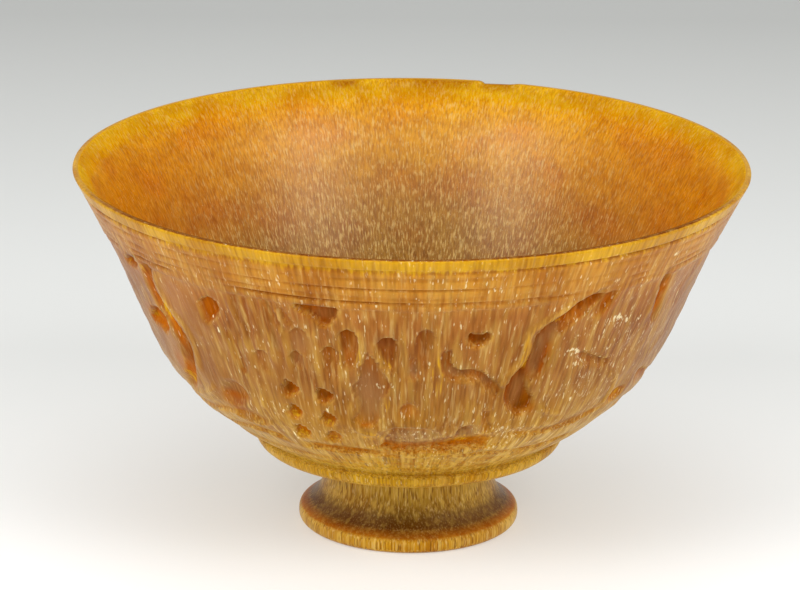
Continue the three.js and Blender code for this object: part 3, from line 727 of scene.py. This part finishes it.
class HornNodes(Nodes):
    """Polished horn. It is a bundle of filaments about 0.4 mm thick that fan out upwards, so cut along them
    they show as long fine streaks, and cut across them as dots. Thin edges let light through and are painted
    a glowing yellow, thick stretches look olive brown, and the carved hollows are a deeper orange with
    painted shade. Slopes that face up are painted a lit orange, and overhanging edges painted shade."""

    def __init__(self, name, colours, fan_height, hollow):
        super().__init__(name)
        self.colours = colours
        self.hollow = hollow
        for mask in MASKS:
            setattr(self, mask, self.add("Attribute", {"attribute_name": mask}, out="Fac"))
        place = self.add("TexCoord", out="Object")
        self.in_mm = self.add("Mapping", links={"Vector": place, "Scale": (1 / MM, 1 / MM, 1 / MM)})
        self.height = self.add("SeparateXYZ", links={0: self.in_mm}, out="Z")
        self.level = self.span(self.height, 0.0, CUP_HEIGHT)
        self.fanned = self.fan_out(fan_height)
        self.fine = self.fibres(0.34, 6)
        self.broad = self.fibres(5, 13, 2.0, 57.0)
        self.bundle = self.fibres(0.8, 11, 1.0, 43.0)
        self.fleck = self.add("TexNoise", links={
            "Vector": self.in_mm, "Scale": 1.5, "Detail": 3.0, "Roughness": 0.7})

    def fan_out(self, fan_height):
        """Places in mm, drawn in as they rise, as the filaments fan out from this far under the table."""
        gather = self.math("DIVIDE", fan_height, self.math("ADD", self.height, fan_height))
        shorten = 1.0
        if self.hollow:
            # The inner wall is turned across the filaments, so they are shorter there and their ends finer.
            shorten = self.one_plus(3.0, self.inside)
            gather = self.times(gather, self.one_plus(0.7, self.inside))
            # Under the frieze the wall turns in, and the streaks turn in with it.
            turned_in = self.ramp(self.level, (0.256, 1.0), (0.3, 0.73), (0.36, 0.28), (0.436, 0.0))
            gather = self.times(gather, self.one_plus(0.3, turned_in))
        drawn_in = self.add("CombineXYZ", links={"X": gather, "Y": gather, "Z": shorten})
        return self.add("VectorMath", {"operation": "MULTIPLY"}, {0: self.in_mm, 1: drawn_in})

    def fibres(self, thickness, length, detail=1.0, shift=0.0):
        """Noise in streaks of this thickness and length in mm."""
        stretched = self.add("Mapping", links={
            "Vector": self.fanned,
            "Scale": (1 / thickness, 1 / thickness, 1 / length),
            "Location": (shift, shift, shift),
        })
        return self.add("TexNoise", {"noise_dimensions": "3D"}, {
            "Vector": stretched, "Scale": 1.0, "Detail": detail, "Roughness": 0.5})

    def ground(self, outside, inside):
        """The horn's colour with painted light and shade: its tone at each height, cuts with painted shade,
        painted lit slopes, painted glow of ridges and thin edges, and bruises with painted shade.
        """
        colours = self.colours
        tone = self.ramp(self.level, *outside)
        orange = colours.orange
        if self.hollow:
            tone = self.mix(self.inside, tone, self.ramp(self.level, *inside))
            # The inner wall was polished, so the orange painted as light at its sides is brighter than that
            # of the cuts.
            orange = self.mix(self.inside, orange, colours.inner_orange)
        # Painted shade and the cut horn's own colour: the deeper a place is cut, the more of the deep cut
        # colour it takes.
        cut_tone = self.mix(self.span(self.height, 48.0, 33.0), colours.deep, colours.low_deep)
        tone = self.mix(self.carved, tone, cut_tone)
        # Painted light: slopes that face up, cuts that light comes through and the inner wall's sides turn a
        # lit orange, as do the rim's losses.
        tone = self.mix(self.facing_up, tone, orange)
        tone = self.mix(self.times(self.dull, 0.85), tone, colours.dull)
        # Painted glow on the ridges between the cuts and on the sides of the collar and foot.
        ridge_glow_share = self.times(self.ridge, self.ramp(self.fine, (0.3, 0.35), (0.6, 0.85)))
        tone = self.mix(ridge_glow_share, tone, colours.ridge)
        # The painted yellow glow of a thin edge runs on along single filaments, so its border is ragged.
        ragged = self.math("ADD", self.thin, self.math("MULTIPLY_ADD", self.fine, 1.1, -0.55))
        tone = self.mix(self.ramp(ragged, (0.5, 0.0), (0.85, 0.92)), tone, colours.glow)
        # Darkened rim losses, and painted shade on overhanging cut edges, shaded floors, the rim's inner edge
        # near the front and the foot's edge at front and back.
        return self.mix(self.times(self.bruise, 0.8), tone, colours.shade)

    def calm_shares(self):
        """How much is left of the dark filaments, the painted glints of torn ends and the pale filaments at
        each place.
        """
        # Cuts and thin edges show the filaments less, and so does the inner wall.
        calm = self.times(self.one_plus(-0.6, self.thin), self.one_plus(-0.8, self.carved),
                          self.one_plus(-0.7, self.smooth))
        if not self.hollow:
            return calm, calm, calm
        glint_share = self.times(calm, self.one_plus(-0.7, self.inside))
        pale = self.math("MULTIPLY", self.math("MULTIPLY_ADD", self.thin, -0.9, 1.3),
                         self.one_plus(-1.3, self.facing_up), clamp=True)
        pale = self.math("MAXIMUM", glint_share, self.times(self.inside, pale))
        return self.times(calm, self.one_plus(-0.6, self.inside)), glint_share, pale

    def leanings(self, tone):
        """The slow changes of colour over the horn, and the fine ones from filament to filament."""
        patchy = 1.0
        if self.hollow:
            patchy = self.one_plus(-0.4, self.inside)
            # The inner wall leans slowly from a pinkish brown to a yellower one and back.
            lean = self.ramp(
                self.fibres(12, 34, 1.0, 37.0), (0.34, "#FAEADC"), (0.5, "#FFFEFA"), (0.66, "#FFFFF0"))
            tone = self.mix(self.inside, tone, lean, "MULTIPLY")
        # Broad bundles lean to a pinkish brown, and narrower ones between them to a yellow olive.
        tone = self.mix(patchy, tone, self.ramp(
            self.broad, (0.36, "#E2CDB0"), (0.5, "#F1E8DA"), (0.64, "#FFFCF8")), "MULTIPLY")
        return self.mix(self.one_plus(-0.7, self.smooth), tone, self.ramp(
            self.fine, (0.3, "#D8CCBA"), (0.5, "#F0EAE0"), (0.7, 1.0)), "MULTIPLY")

    def pale_share(self, pale_calm, calm, limit):
        """How much of the pale filaments shows at each place."""
        pale = self.fibres(0.34, 6, 2.0, 11.0)
        share = self.times(self.ramp(pale, (0.54, 0.0), (0.72, 1.0)), pale_calm, limit)
        if not self.hollow:
            return share
        low_streaks = self.times(self.ramp(self.bundle, (0.5, 0.0), (0.7, 0.36)), calm,
                                 self.ramp(self.level, (0.37, 1.0), (0.46, 0.0)))
        share = self.math("MAXIMUM", share, low_streaks)
        # On the inner wall the filaments' ends are few and bright higher up, and crowd together lower down.
        crowded = self.math("ADD", pale, self.ramp(self.level, (0.4, 0.05), (0.75, 0.0)))
        crowded = self.math("MULTIPLY_ADD", self.fibres(1.1, 5, 2.0, 23.0), 0.45, crowded)
        inner_share = self.times(self.ramp(crowded, (0.74, 0.0), (0.96, 0.5)), pale_calm)
        return self.mix(self.inside, share, inner_share)

    def filaments(self, tone, bundles, paleness, glint_strength):
        """The filaments over the ground: olive bundles, dark and pale ones, and painted glints of torn ends.
        """
        colours = self.colours
        calm, glint_calm, pale_calm = self.calm_shares()
        crowding = self.ramp(self.level, (0.4, 1.0), (0.52, 0.5))
        olive_share = self.times(self.ramp(self.bundle, (0.46, 0.0), (0.68, bundles)), calm, crowding)
        tone = self.mix(olive_share, tone, colours.ridge)
        # Low down the wall was cut more along the filaments, and the dark ones show most there.
        dark = self.ramp(self.fibres(0.45, 9, shift=31.0), (0.3, 1.0), (0.44, 0.0))
        dark = self.times(dark, calm, self.ramp(self.level, (0.4, 0.7), (0.5, 0.22)))
        tone = self.mix(dark, tone, colours.shade)
        pale_share = self.pale_share(pale_calm, calm, self.times(crowding, paleness))
        filament = colours.filament
        if self.hollow:
            # Near the collar the filaments are a stronger yellow.
            filament = self.mix(self.ramp(self.level, (0.36, 0.6), (0.44, 0.0)), filament, colours.glow)
        tone = self.mix(pale_share, tone, filament)
        # Painted glints: torn filament ends that catch the light are painted pale.
        glint_share = self.times(self.ramp(self.fibres(0.25, 2.0, 1.0, 91.0), (0.66, 0.0), (0.74, glint_strength)),
                          self.ramp(self.broad, (0.42, 0.4), (0.6, 1.0)), glint_calm)
        tone = self.mix(glint_share, tone, colours.glint_and_fleck)
        # The harder a place was rubbed, the closer its torn ends stand.
        rubbed = self.math("MULTIPLY_ADD", self.worn, 0.5, self.fibres(0.32, 1.2, 2.0, 71.0))
        worn_share = self.times(self.worn, self.ramp(rubbed, (0.87, 0.0), (0.96, 1.0)))
        return self.mix(worn_share, tone, colours.glint_and_fleck)

    def shine(self, polish_low):
        """The cuts were never polished, so they hardly shine, and the polish is worn unevenly elsewhere."""
        lit = self.facing_up
        shine = self.ramp(self.level, (0.3, polish_low), (0.46, 0.13))
        if self.hollow:
            # The inner wall keeps the best polish in its upper half, away from the orange sides.
            polish = self.times(self.ramp(self.level, (0.5, 0.06), (0.68, 0.56), (0.87, 0.6), (0.96, 0.0)),
                                self.one_plus(-1.3, lit, clamp=True))
            shine = self.mix(self.inside, shine, polish)
        return self.times(shine, self.one_plus(-0.97, self.math("MAXIMUM", self.carved, lit)))

    def surface(self, tone, polish_low):
        """The finished horn, with its fine grain standing out of the surface."""
        grain = self.math("ADD", self.fine, self.times(self.fleck, 0.7))
        bump = self.add("Bump", links={"Height": grain, "Strength": 0.4, "Distance": 0.12 * MM})
        rough = self.math("MULTIPLY_ADD", self.fleck, 0.3, self.math(
            "MULTIPLY_ADD", self.carved, 0.2, 0.2))
        tint = linear("#FFD9A0")
        if self.hollow:
            tint = self.mix(self.inside, tint, linear("#FFEACC"))
        return self.finish(self.add("BsdfPrincipled", links={
            "Base Color": tone,
            "Roughness": rough,
            "IOR": 1.54,
            "Specular IOR Level": self.shine(polish_low),
            "Specular Tint": tint,
            "Subsurface Weight": 0.12,
            "Subsurface Radius": (1.0, 0.4, 0.12),
            "Subsurface Scale": 2.0 * MM,
            "Normal": bump,
        }))


def horn_material(name, colours, outside, inside, fan_height, glint_strength, bundles, paleness, polish_low):
    """Horn with tones of (height in mm, hex colour) outside, and inside where the piece is hollow."""
    outside, inside = ([(height / CUP_HEIGHT, code) for height, code in tones] for tones in (outside, inside))
    horn = HornNodes(name, colours, fan_height, bool(inside))
    tone = horn.leanings(horn.ground(outside, inside))
    return horn.surface(horn.filaments(tone, bundles, paleness, glint_strength), polish_low)


class CUP_OT_bowl(bpy.types.Operator):
    """Turn the bowl, carve its frieze and give it its horn"""
    bl_idname = "cup.make_bowl"
    bl_label = "Make the bowl"

    def execute(self, context):
        sizes = context.scene.cup_sizes
        wall = Wall(sizes)
        outline, parts = bowl_outline(sizes, wall)
        piece = spun("carved_bowl", outline, sizes.turn_steps)
        places, row = vertex_places(piece.data)
        turn = np.degrees(np.arctan2(places[:, 0], -places[:, 1]))
        height = places[:, 2].copy()
        picked = np.flatnonzero((row >= parts["wall"]) & (row < parts["lip"]))
        relief = Relief(wall, places[picked], turn[picked], sizes.ground_depth / MM)
        out = outline_normals(outline)[row[picked]]
        outwards = places[picked, :2] * out[:, :1] / relief.radius[:, None]
        places[picked] -= relief.depth[:, None] * np.column_stack([outwards, out[:, 1]])
        bruise = wear_rim(places, turn, row, parts)
        write_places(piece.data, places)
        write_masks(piece.data, bowl_masks(relief, picked, turn, height, row, parts, bruise))
        # Tones by height in mm. Both run up to a yellow under the rim, painted glow where light comes through
        # the thin wall, and the inner wall is darker towards its floor.
        outside = (
            (17, "#C0982A"), (24, "#C69A24"), (32, "#B98A20"), (38, "#AA7824"), (45, "#9E6A2C"),
            (58, "#A0672C"), (64, "#AA6E30"), (68, "#BC802C"), (75, "#C88C2C"), (78, "#DCAA1C"))
        inside = (
            (24, "#785A24"), (38, "#8A6228"), (48, "#9C7028"), (56, "#B27C28"), (66, "#DA9C1A"),
            (73, "#E6A80A"), (78, "#F8C000"))
        piece.data.materials.append(horn_material(
            "polished_cut_horn", context.scene.horn_colours, outside, inside, fan_height=68, glint_strength=0.68,
            bundles=0.44, paleness=0.6, polish_low=0.04))
        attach(piece, "root")
        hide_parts("bowl")
        return {"FINISHED"}


def bowl_masks(relief, picked, turn, height, row, parts, bruise):
    """The look's masks at each vertex of the bowl."""
    masks = {name: np.zeros(len(row)) for name in MASKS}
    inner = row >= parts["inside"]
    collar = (row >= parts["collar"]) & (row < parts["wall"])
    rim = row >= parts["lip"]
    beside = np.sin(np.radians(turn)) ** 2
    masks["inside"] = row > parts["face"]
    cut_share = np.clip(relief.cut / FULL_CUT, 0, 1) ** 1.25
    masks["carved"][picked] = cut_share + relief.lines + 0.4 * relief.foot_lines
    for name in ("worn", "dull", "smooth"):
        masks[name][picked] = relief.patches(name)

    # Painted glow: banks, and crests that stand over the cuts, are lighter in the frieze, and so are the
    # collar's sides as seen from the front.
    ridge = masks["ridge"]
    ridge[picked] = np.maximum(relief.bank * 1.5, 0.5 * relief.crest) * relief.in_frieze
    ridge[collar] = np.minimum(1.3 * beside[collar], 1)

    # Painted glow: yellow where light comes through the thin lip band, rim, collar and upper inner wall, less
    # at the inner wall's sides as seen from the front, and less at the rim's losses and painted shade line.
    thin = masks["thin"]
    ragged = relief.height + relief.uneven + 0.6 * relief.fine
    lip = np.interp(ragged, (40, 71, 74.2, 75.8), (0, 0.15, 0.36, 1))
    thin[picked] = np.maximum(lip, relief.patches("thin"))
    thin[rim] = 1.0
    thin[inner] = np.interp(height[inner], (62, 70, 75, 76.5), (0, 0.2, 0.6, 1)) * (1 - 0.3 * beside[inner])
    thin[collar] = 0.62
    thin[rim] *= 1 - 0.8 * bruise[rim]

    # Painted light: slopes of the cuts that face up, and cuts that light comes through, are painted orange,
    # and the inner wall a deeper orange at both sides as seen from the front. The rim's losses and its
    # painted shade line take the orange too.
    lit = masks["facing_up"]
    shown = relief.patches("lit") * np.clip((relief.raw_cut + 0.2) / 0.5, 0, 1)
    lit[picked] = np.max([0.55 * smooth_step(relief.slope / 0.9), shown, relief.patches("spill")], axis=0)
    lit[inner] = beside[inner] * np.interp(
        height[inner], (44, 52, 60, 67, 73, 76.5), (0.1, 0.55, 0.7, 0.8, 0.65, 0.1))
    lit[rim] = np.maximum(lit[rim], bruise[rim])

    # Painted shade on the overhanging top edges of the cuts and on the floors of the shade table.
    shade = np.maximum(0.5 * smooth_step(-relief.slope / 1.0), relief.patches("shade"))
    masks["bruise"] = bruise.copy()
    masks["bruise"][picked] = np.maximum(bruise[picked], shade) * (1 - 0.8 * masks["dull"][picked])
    return masks


def bowl_outline(sizes, wall):
    """The bowl's closed outline in mm, from the middle of its underside round the outside and down inside."""
    seat = sizes.seat_height / MM
    rim = sizes.rim_height / MM
    mouth = sizes.mouth_radius / MM
    inner = mouth - sizes.rim_face / MM
    socket_top = seat + SOCKET_DEPTH
    floor = seat + FLOOR_THICKNESS
    under = [(0, socket_top), (6, socket_top), (SOCKET_RADIUS, socket_top), (SOCKET_RADIUS, seat),
             (14.5, seat), (17.2, seat), (23, seat), (27.6, seat)]
    collar = curve_points(
        (28.2, seat), (31.2, seat), (COLLAR_RADIUS, seat + 1.2), (COLLAR_RADIUS, seat + 3.4), 8)
    line = [(32.1, seat + 3.65), (32.0, seat + 3.85), (32.2, seat + 4.05)]
    # The rows stand closest where the frieze and the string lines are.
    up = wall.points[:, 1]
    low = respaced(wall.points[up < 27.5], 1.1)[:-1]
    middle = respaced(wall.points[(up >= 27.5) & (up < 66.8)], 0.56)
    high = respaced(wall.points[up >= 66.8], 0.5)
    lip = [(mouth - 0.1, rim - 0.15), (mouth - 0.4, rim)]
    face = [(mouth - 0.8, rim), (inner + 0.4, rim), (inner, rim - 0.12)]
    depth = rim - floor
    inside = curve_points(
        (inner, rim), (inner * 0.67, floor + depth * 0.48), (inner * 0.85, floor), (0, floor), 200)
    inside = np.vstack([inside[inside[:, 1] < rim - 0.7][:1], respaced(inside[inside[:, 1] > 64], 2.8)[1:],
                        respaced(inside[inside[:, 1] <= 64], 6.4)])
    outline = []
    parts = {}
    for name, *stretches in (("under", under), ("collar", collar, line), ("wall", low, middle, high),
                             ("lip", lip), ("face", face), ("inside", inside)):
        parts[name] = len(outline)
        outline.extend(tuple(point) for stretch in stretches for point in stretch)
    return np.array(outline, float), parts


def wear_rim(places, turn, row, parts):
    """Break the old losses out of the rim, and return how dark each vertex is there: the losses, and painted
    shade along the rim's inner edge towards the front.
    """
    bruise = np.zeros(len(places))
    top = places[:, 2].max()
    near_top = smooth_step((places[:, 2] - (top - 1.6)) / 1.2)
    around = turn % 360
    for first, last, low_depth, high_depth, inner_only in RIM_LOSSES:
        share = np.clip((around - first) / (last - first), 0, 1)
        run_out = 2.5 if inner_only else 0.5
        ends = smooth_step((around - first) / 2.5) * smooth_step((last - around) / run_out)
        depth = (low_depth + (high_depth - low_depth) * share) * ends
        where = (row > parts["face"]) & (row <= parts["inside"]) if inner_only else row >= parts["lip"] - 3
        places[:, 2] -= np.where(where, depth * near_top, 0)
        bruise = np.maximum(bruise, np.where(where, ends * near_top, 0) * (0.6 if inner_only else 0.5))
    # Painted shade: a dark line along the rim's inner edge, towards the front only.
    near_front = smooth_step((80 - np.abs(short_way(turn))) / 30)
    inner_edge = (row > parts["lip"]) & (row < parts["inside"])
    return np.maximum(bruise, np.where(inner_edge, near_front, 0))


class CUP_OT_foot(bpy.types.Operator):
    """Turn the foot with the spigot that seats in the bowl"""
    bl_idname = "cup.make_foot"
    bl_label = "Make the foot"

    def execute(self, context):
        piece = spun("turned_foot", foot_outline(context.scene.cup_sizes), FOOT_STEPS)
        places, _ = vertex_places(piece.data)
        height = places[:, 2]
        # The flare is calmer than the waist. As painted light the flare is a lighter grey brown at both
        # sides, where waist and band are painted paler too, and as painted shade the edge over the band is
        # darker at front and back.
        flare = smooth_step((height - 3.4) / 1.4) * smooth_step((9.5 - height) / 4)
        edge = smooth_step((height - 2.8) / 0.4) * smooth_step((5.5 - height) / 1.5)
        beside = np.abs(places[:, 0]) / np.maximum(np.hypot(places[:, 0], places[:, 1]), 1e-6)
        masks = dict.fromkeys(("carved", "thin", "worn", "facing_up"), np.zeros(len(places)))
        masks["dull"] = 0.25 * flare * smooth_step(beside * 1.4)
        masks["smooth"] = np.maximum(flare, edge)
        masks["bruise"] = 0.6 * edge * (1 - beside)
        masks["ridge"] = np.minimum(1.5 * beside ** 2, 1) * (1 - np.maximum(flare, edge))
        write_masks(piece.data, masks)
        # Tones up the foot by height in mm: the thin band at the bottom is painted a glowing yellow and the
        # ring over it orange, as painted light coming through the thin edge.
        tones = (
            (0, "#C8921C"), (2.9, "#CC9A20"), (3.4, "#BC7010"), (4.6, "#583206"), (6.5, "#64420E"),
            (8.5, "#967022"), (11, "#C29C38"), (17, "#D6B046"), (20, "#D4AE42"))
        piece.data.materials.append(horn_material(
            "polished_dark_horn", context.scene.horn_colours, tones, (), fan_height=700, glint_strength=0.04,
            bundles=0.55, paleness=0.55, polish_low=0.12))
        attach(piece, "root")
        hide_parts("foot")
        return {"FINISHED"}


def foot_outline(sizes):
    """The foot's closed outline in mm, from the middle of its recess round the outside to the spigot."""
    wide = sizes.foot_radius / MM
    waist = sizes.waist_radius / MM
    shoulder = sizes.foot_height / MM
    spigot_radius, spigot_top = 11, float(FOOT_HIGH[2])
    recess_radius, recess_top = 16.6, 6.4
    band_top = 3.3
    flare_height = 13.6
    recess = curve_points((0, recess_top), (11, recess_top), (recess_radius, 4.2), (recess_radius, 0.2), 14)
    rest = [(16.8, 0.0), (19.5, 0.0), (21.4, 0.0)]
    edge = curve_points((21.9, 0.0), (22.8, 0.1), (wide, 0.7), (wide, 1.5), 6)
    band = [(wide, 1.9), (wide - 0.05, 2.4), (wide - 0.22, 2.9), (wide - 0.55, band_top)]
    flare = curve_points((wide - 1.0, 3.55), (waist, band_top + flare_height * 0.2),
                         (waist, band_top + flare_height * 0.6), (waist, shoulder - 0.1), 42)
    top = [(waist - 0.2, shoulder), (14, shoulder), (11.2, shoulder), (spigot_radius, shoulder + 0.15)]
    spigot = [(spigot_radius, spigot_top - 0.5), (10.5, spigot_top), (5, spigot_top), (0, spigot_top)]
    return np.array([tuple(p) for part in (recess, rest, edge, band, flare, top, spigot) for p in part])


class CUP_OT_stage(bpy.types.Operator):
    """Lay the paper sweep and set the lamps and the camera"""
    bl_idname = "cup.make_stage"
    bl_label = "Make the stage"

    def execute(self, context):
        lay_paper()
        set_lamps(context.scene)
        set_camera(context.scene)
        return {"FINISHED"}


def lay_paper():
    """Graduated paper that lies under the cup and sweeps up behind it, all lengths in metres. Its grading,
    darker towards the back, is painted fall-off of the light, and it glows to lighten the shadows under the
    cup, as painted light.
    """
    bm = bmesh.new()
    half_width, flat_to, bend, top = 2.4, 0.9, 0.6, 2.4
    section = [(-1.6, 0.0), (-0.3, 0.0), (0.1, 0.0), (flat_to, 0.0)]
    for angle in np.linspace(0.1, math.pi / 2, 14):
        section.append((flat_to + bend * math.sin(angle), bend - bend * math.cos(angle)))
    section.append((flat_to + bend, top))
    verts = [bm.verts.new((-half_width, y, z)) for y, z in section]
    edges = [bm.edges.new(pair) for pair in zip(verts, verts[1:])]
    swept = bmesh.ops.extrude_edge_only(bm, edges=edges)["geom"]
    far_side = [part for part in swept if isinstance(part, bmesh.types.BMVert)]
    bmesh.ops.translate(bm, vec=(2 * half_width, 0, 0), verts=far_side)
    bmesh.ops.recalc_face_normals(bm, faces=bm.faces)
    sweep = linked_piece("paper_sweep", bm)
    paper = Nodes("paper_painted_falloff_glow")
    place = paper.add("TexCoord", out="Object")
    back = paper.add("SeparateXYZ", links={0: place}, out="Y")
    # Painted fall-off of the light: darker towards the back.
    tint = paper.ramp(paper.span(back, -0.12, 0.45), (0.0, "#EBECEB"), (0.4, "#C4C5C3"), (1.0, "#9D9E9C"))
    # The paper glows with its own colour, which lightens the shadows under the cup: painted light.
    sweep.data.materials.append(paper.finish(paper.add("BsdfPrincipled", links={
        "Base Color": tint, "Roughness": 0.9, "Emission Color": tint, "Emission Strength": 0.38})))


def set_lamps(scene):
    """Two soft boxes before the cup, one over it, and the studio's own light."""
    for name, place, size, power in (
            ("left_softbox", (-0.82, -0.66, 0.84), 0.6, 6.2),
            ("right_softbox", (0.82, -0.66, 0.84), 0.6, 6.2),
            ("top_softbox", (0.0, 0.15, 1.3), 1.0, 3.4)):
        lamp = bpy.data.lights.new(name, "AREA")
        lamp.shape = "SQUARE"
        lamp.size = size
        lamp.energy = power
        lamp_object = bpy.data.objects.new(name, lamp)
        lamp_object.location = place
        aim = Vector((0, 0, 0.04)) - Vector(place)
        lamp_object.rotation_euler = aim.to_track_quat("-Z", "Y").to_euler()
        scene.collection.objects.link(lamp_object)
    world = bpy.data.worlds.new("studio_air")
    world.use_nodes = True
    background = world.node_tree.nodes["Background"].inputs
    background["Color"].default_value = (1.0, 1.0, 1.0, 1.0)
    background["Strength"].default_value = 0.76
    scene.world = world
    scene.view_settings.view_transform = "Standard"
    scene.view_settings.look = "None"


def set_camera(scene):
    """The camera at the photograph's place and angle."""
    camera = bpy.data.cameras.new("camera")
    camera.lens = 177.46
    camera.sensor_width = 36.0
    camera.clip_start = 0.05
    camera.clip_end = 20.0
    right = Vector((0.99994188, 0.0056992, 0.00915206))
    up = Vector((-0.01044703, 0.30237841, 0.95313071))
    ahead = Vector((-0.0026647, 0.95317093, -0.30242038))
    turned = Matrix((right, up, -ahead)).transposed().to_4x4()
    turned.translation = Vector((0, -785.896, 298.463)) * MM
    camera_object = bpy.data.objects.new("camera", camera)
    camera_object.matrix_world = turned
    scene.collection.objects.link(camera_object)
    scene.camera = camera_object


class CUP_PT_panel(bpy.types.Panel):
    """The cup's sizes, colours and makers"""
    bl_label = "Libation cup"
    bl_idname = "CUP_PT_panel"
    bl_space_type = "VIEW_3D"
    bl_region_type = "UI"
    bl_category = "Cup"

    def draw(self, context):
        layout = self.layout
        for group in (context.scene.cup_sizes, context.scene.horn_colours):
            for name in group.bl_rna.properties.keys():
                if name not in ("rna_type", "name"):
                    layout.prop(group, name)
        for maker in (CUP_OT_stage, CUP_OT_bowl, CUP_OT_foot):
            layout.operator(maker.bl_idname)


CLASSES = (CupSizes, HornColours, CUP_OT_stage, CUP_OT_bowl, CUP_OT_foot, CUP_PT_panel)


def register():
    for each in CLASSES:
        bpy.utils.register_class(each)
    bpy.types.Scene.cup_sizes = bpy.props.PointerProperty(type=CupSizes)
    bpy.types.Scene.horn_colours = bpy.props.PointerProperty(type=HornColours)


def unregister():
    del bpy.types.Scene.horn_colours
    del bpy.types.Scene.cup_sizes
    for each in reversed(CLASSES):
        bpy.utils.unregister_class(each)


def main():
    register()
    bpy.ops.cup.make_stage()
    bpy.ops.cup.make_bowl()
    bpy.ops.cup.make_foot()


if __name__ == "__main__":
    main()
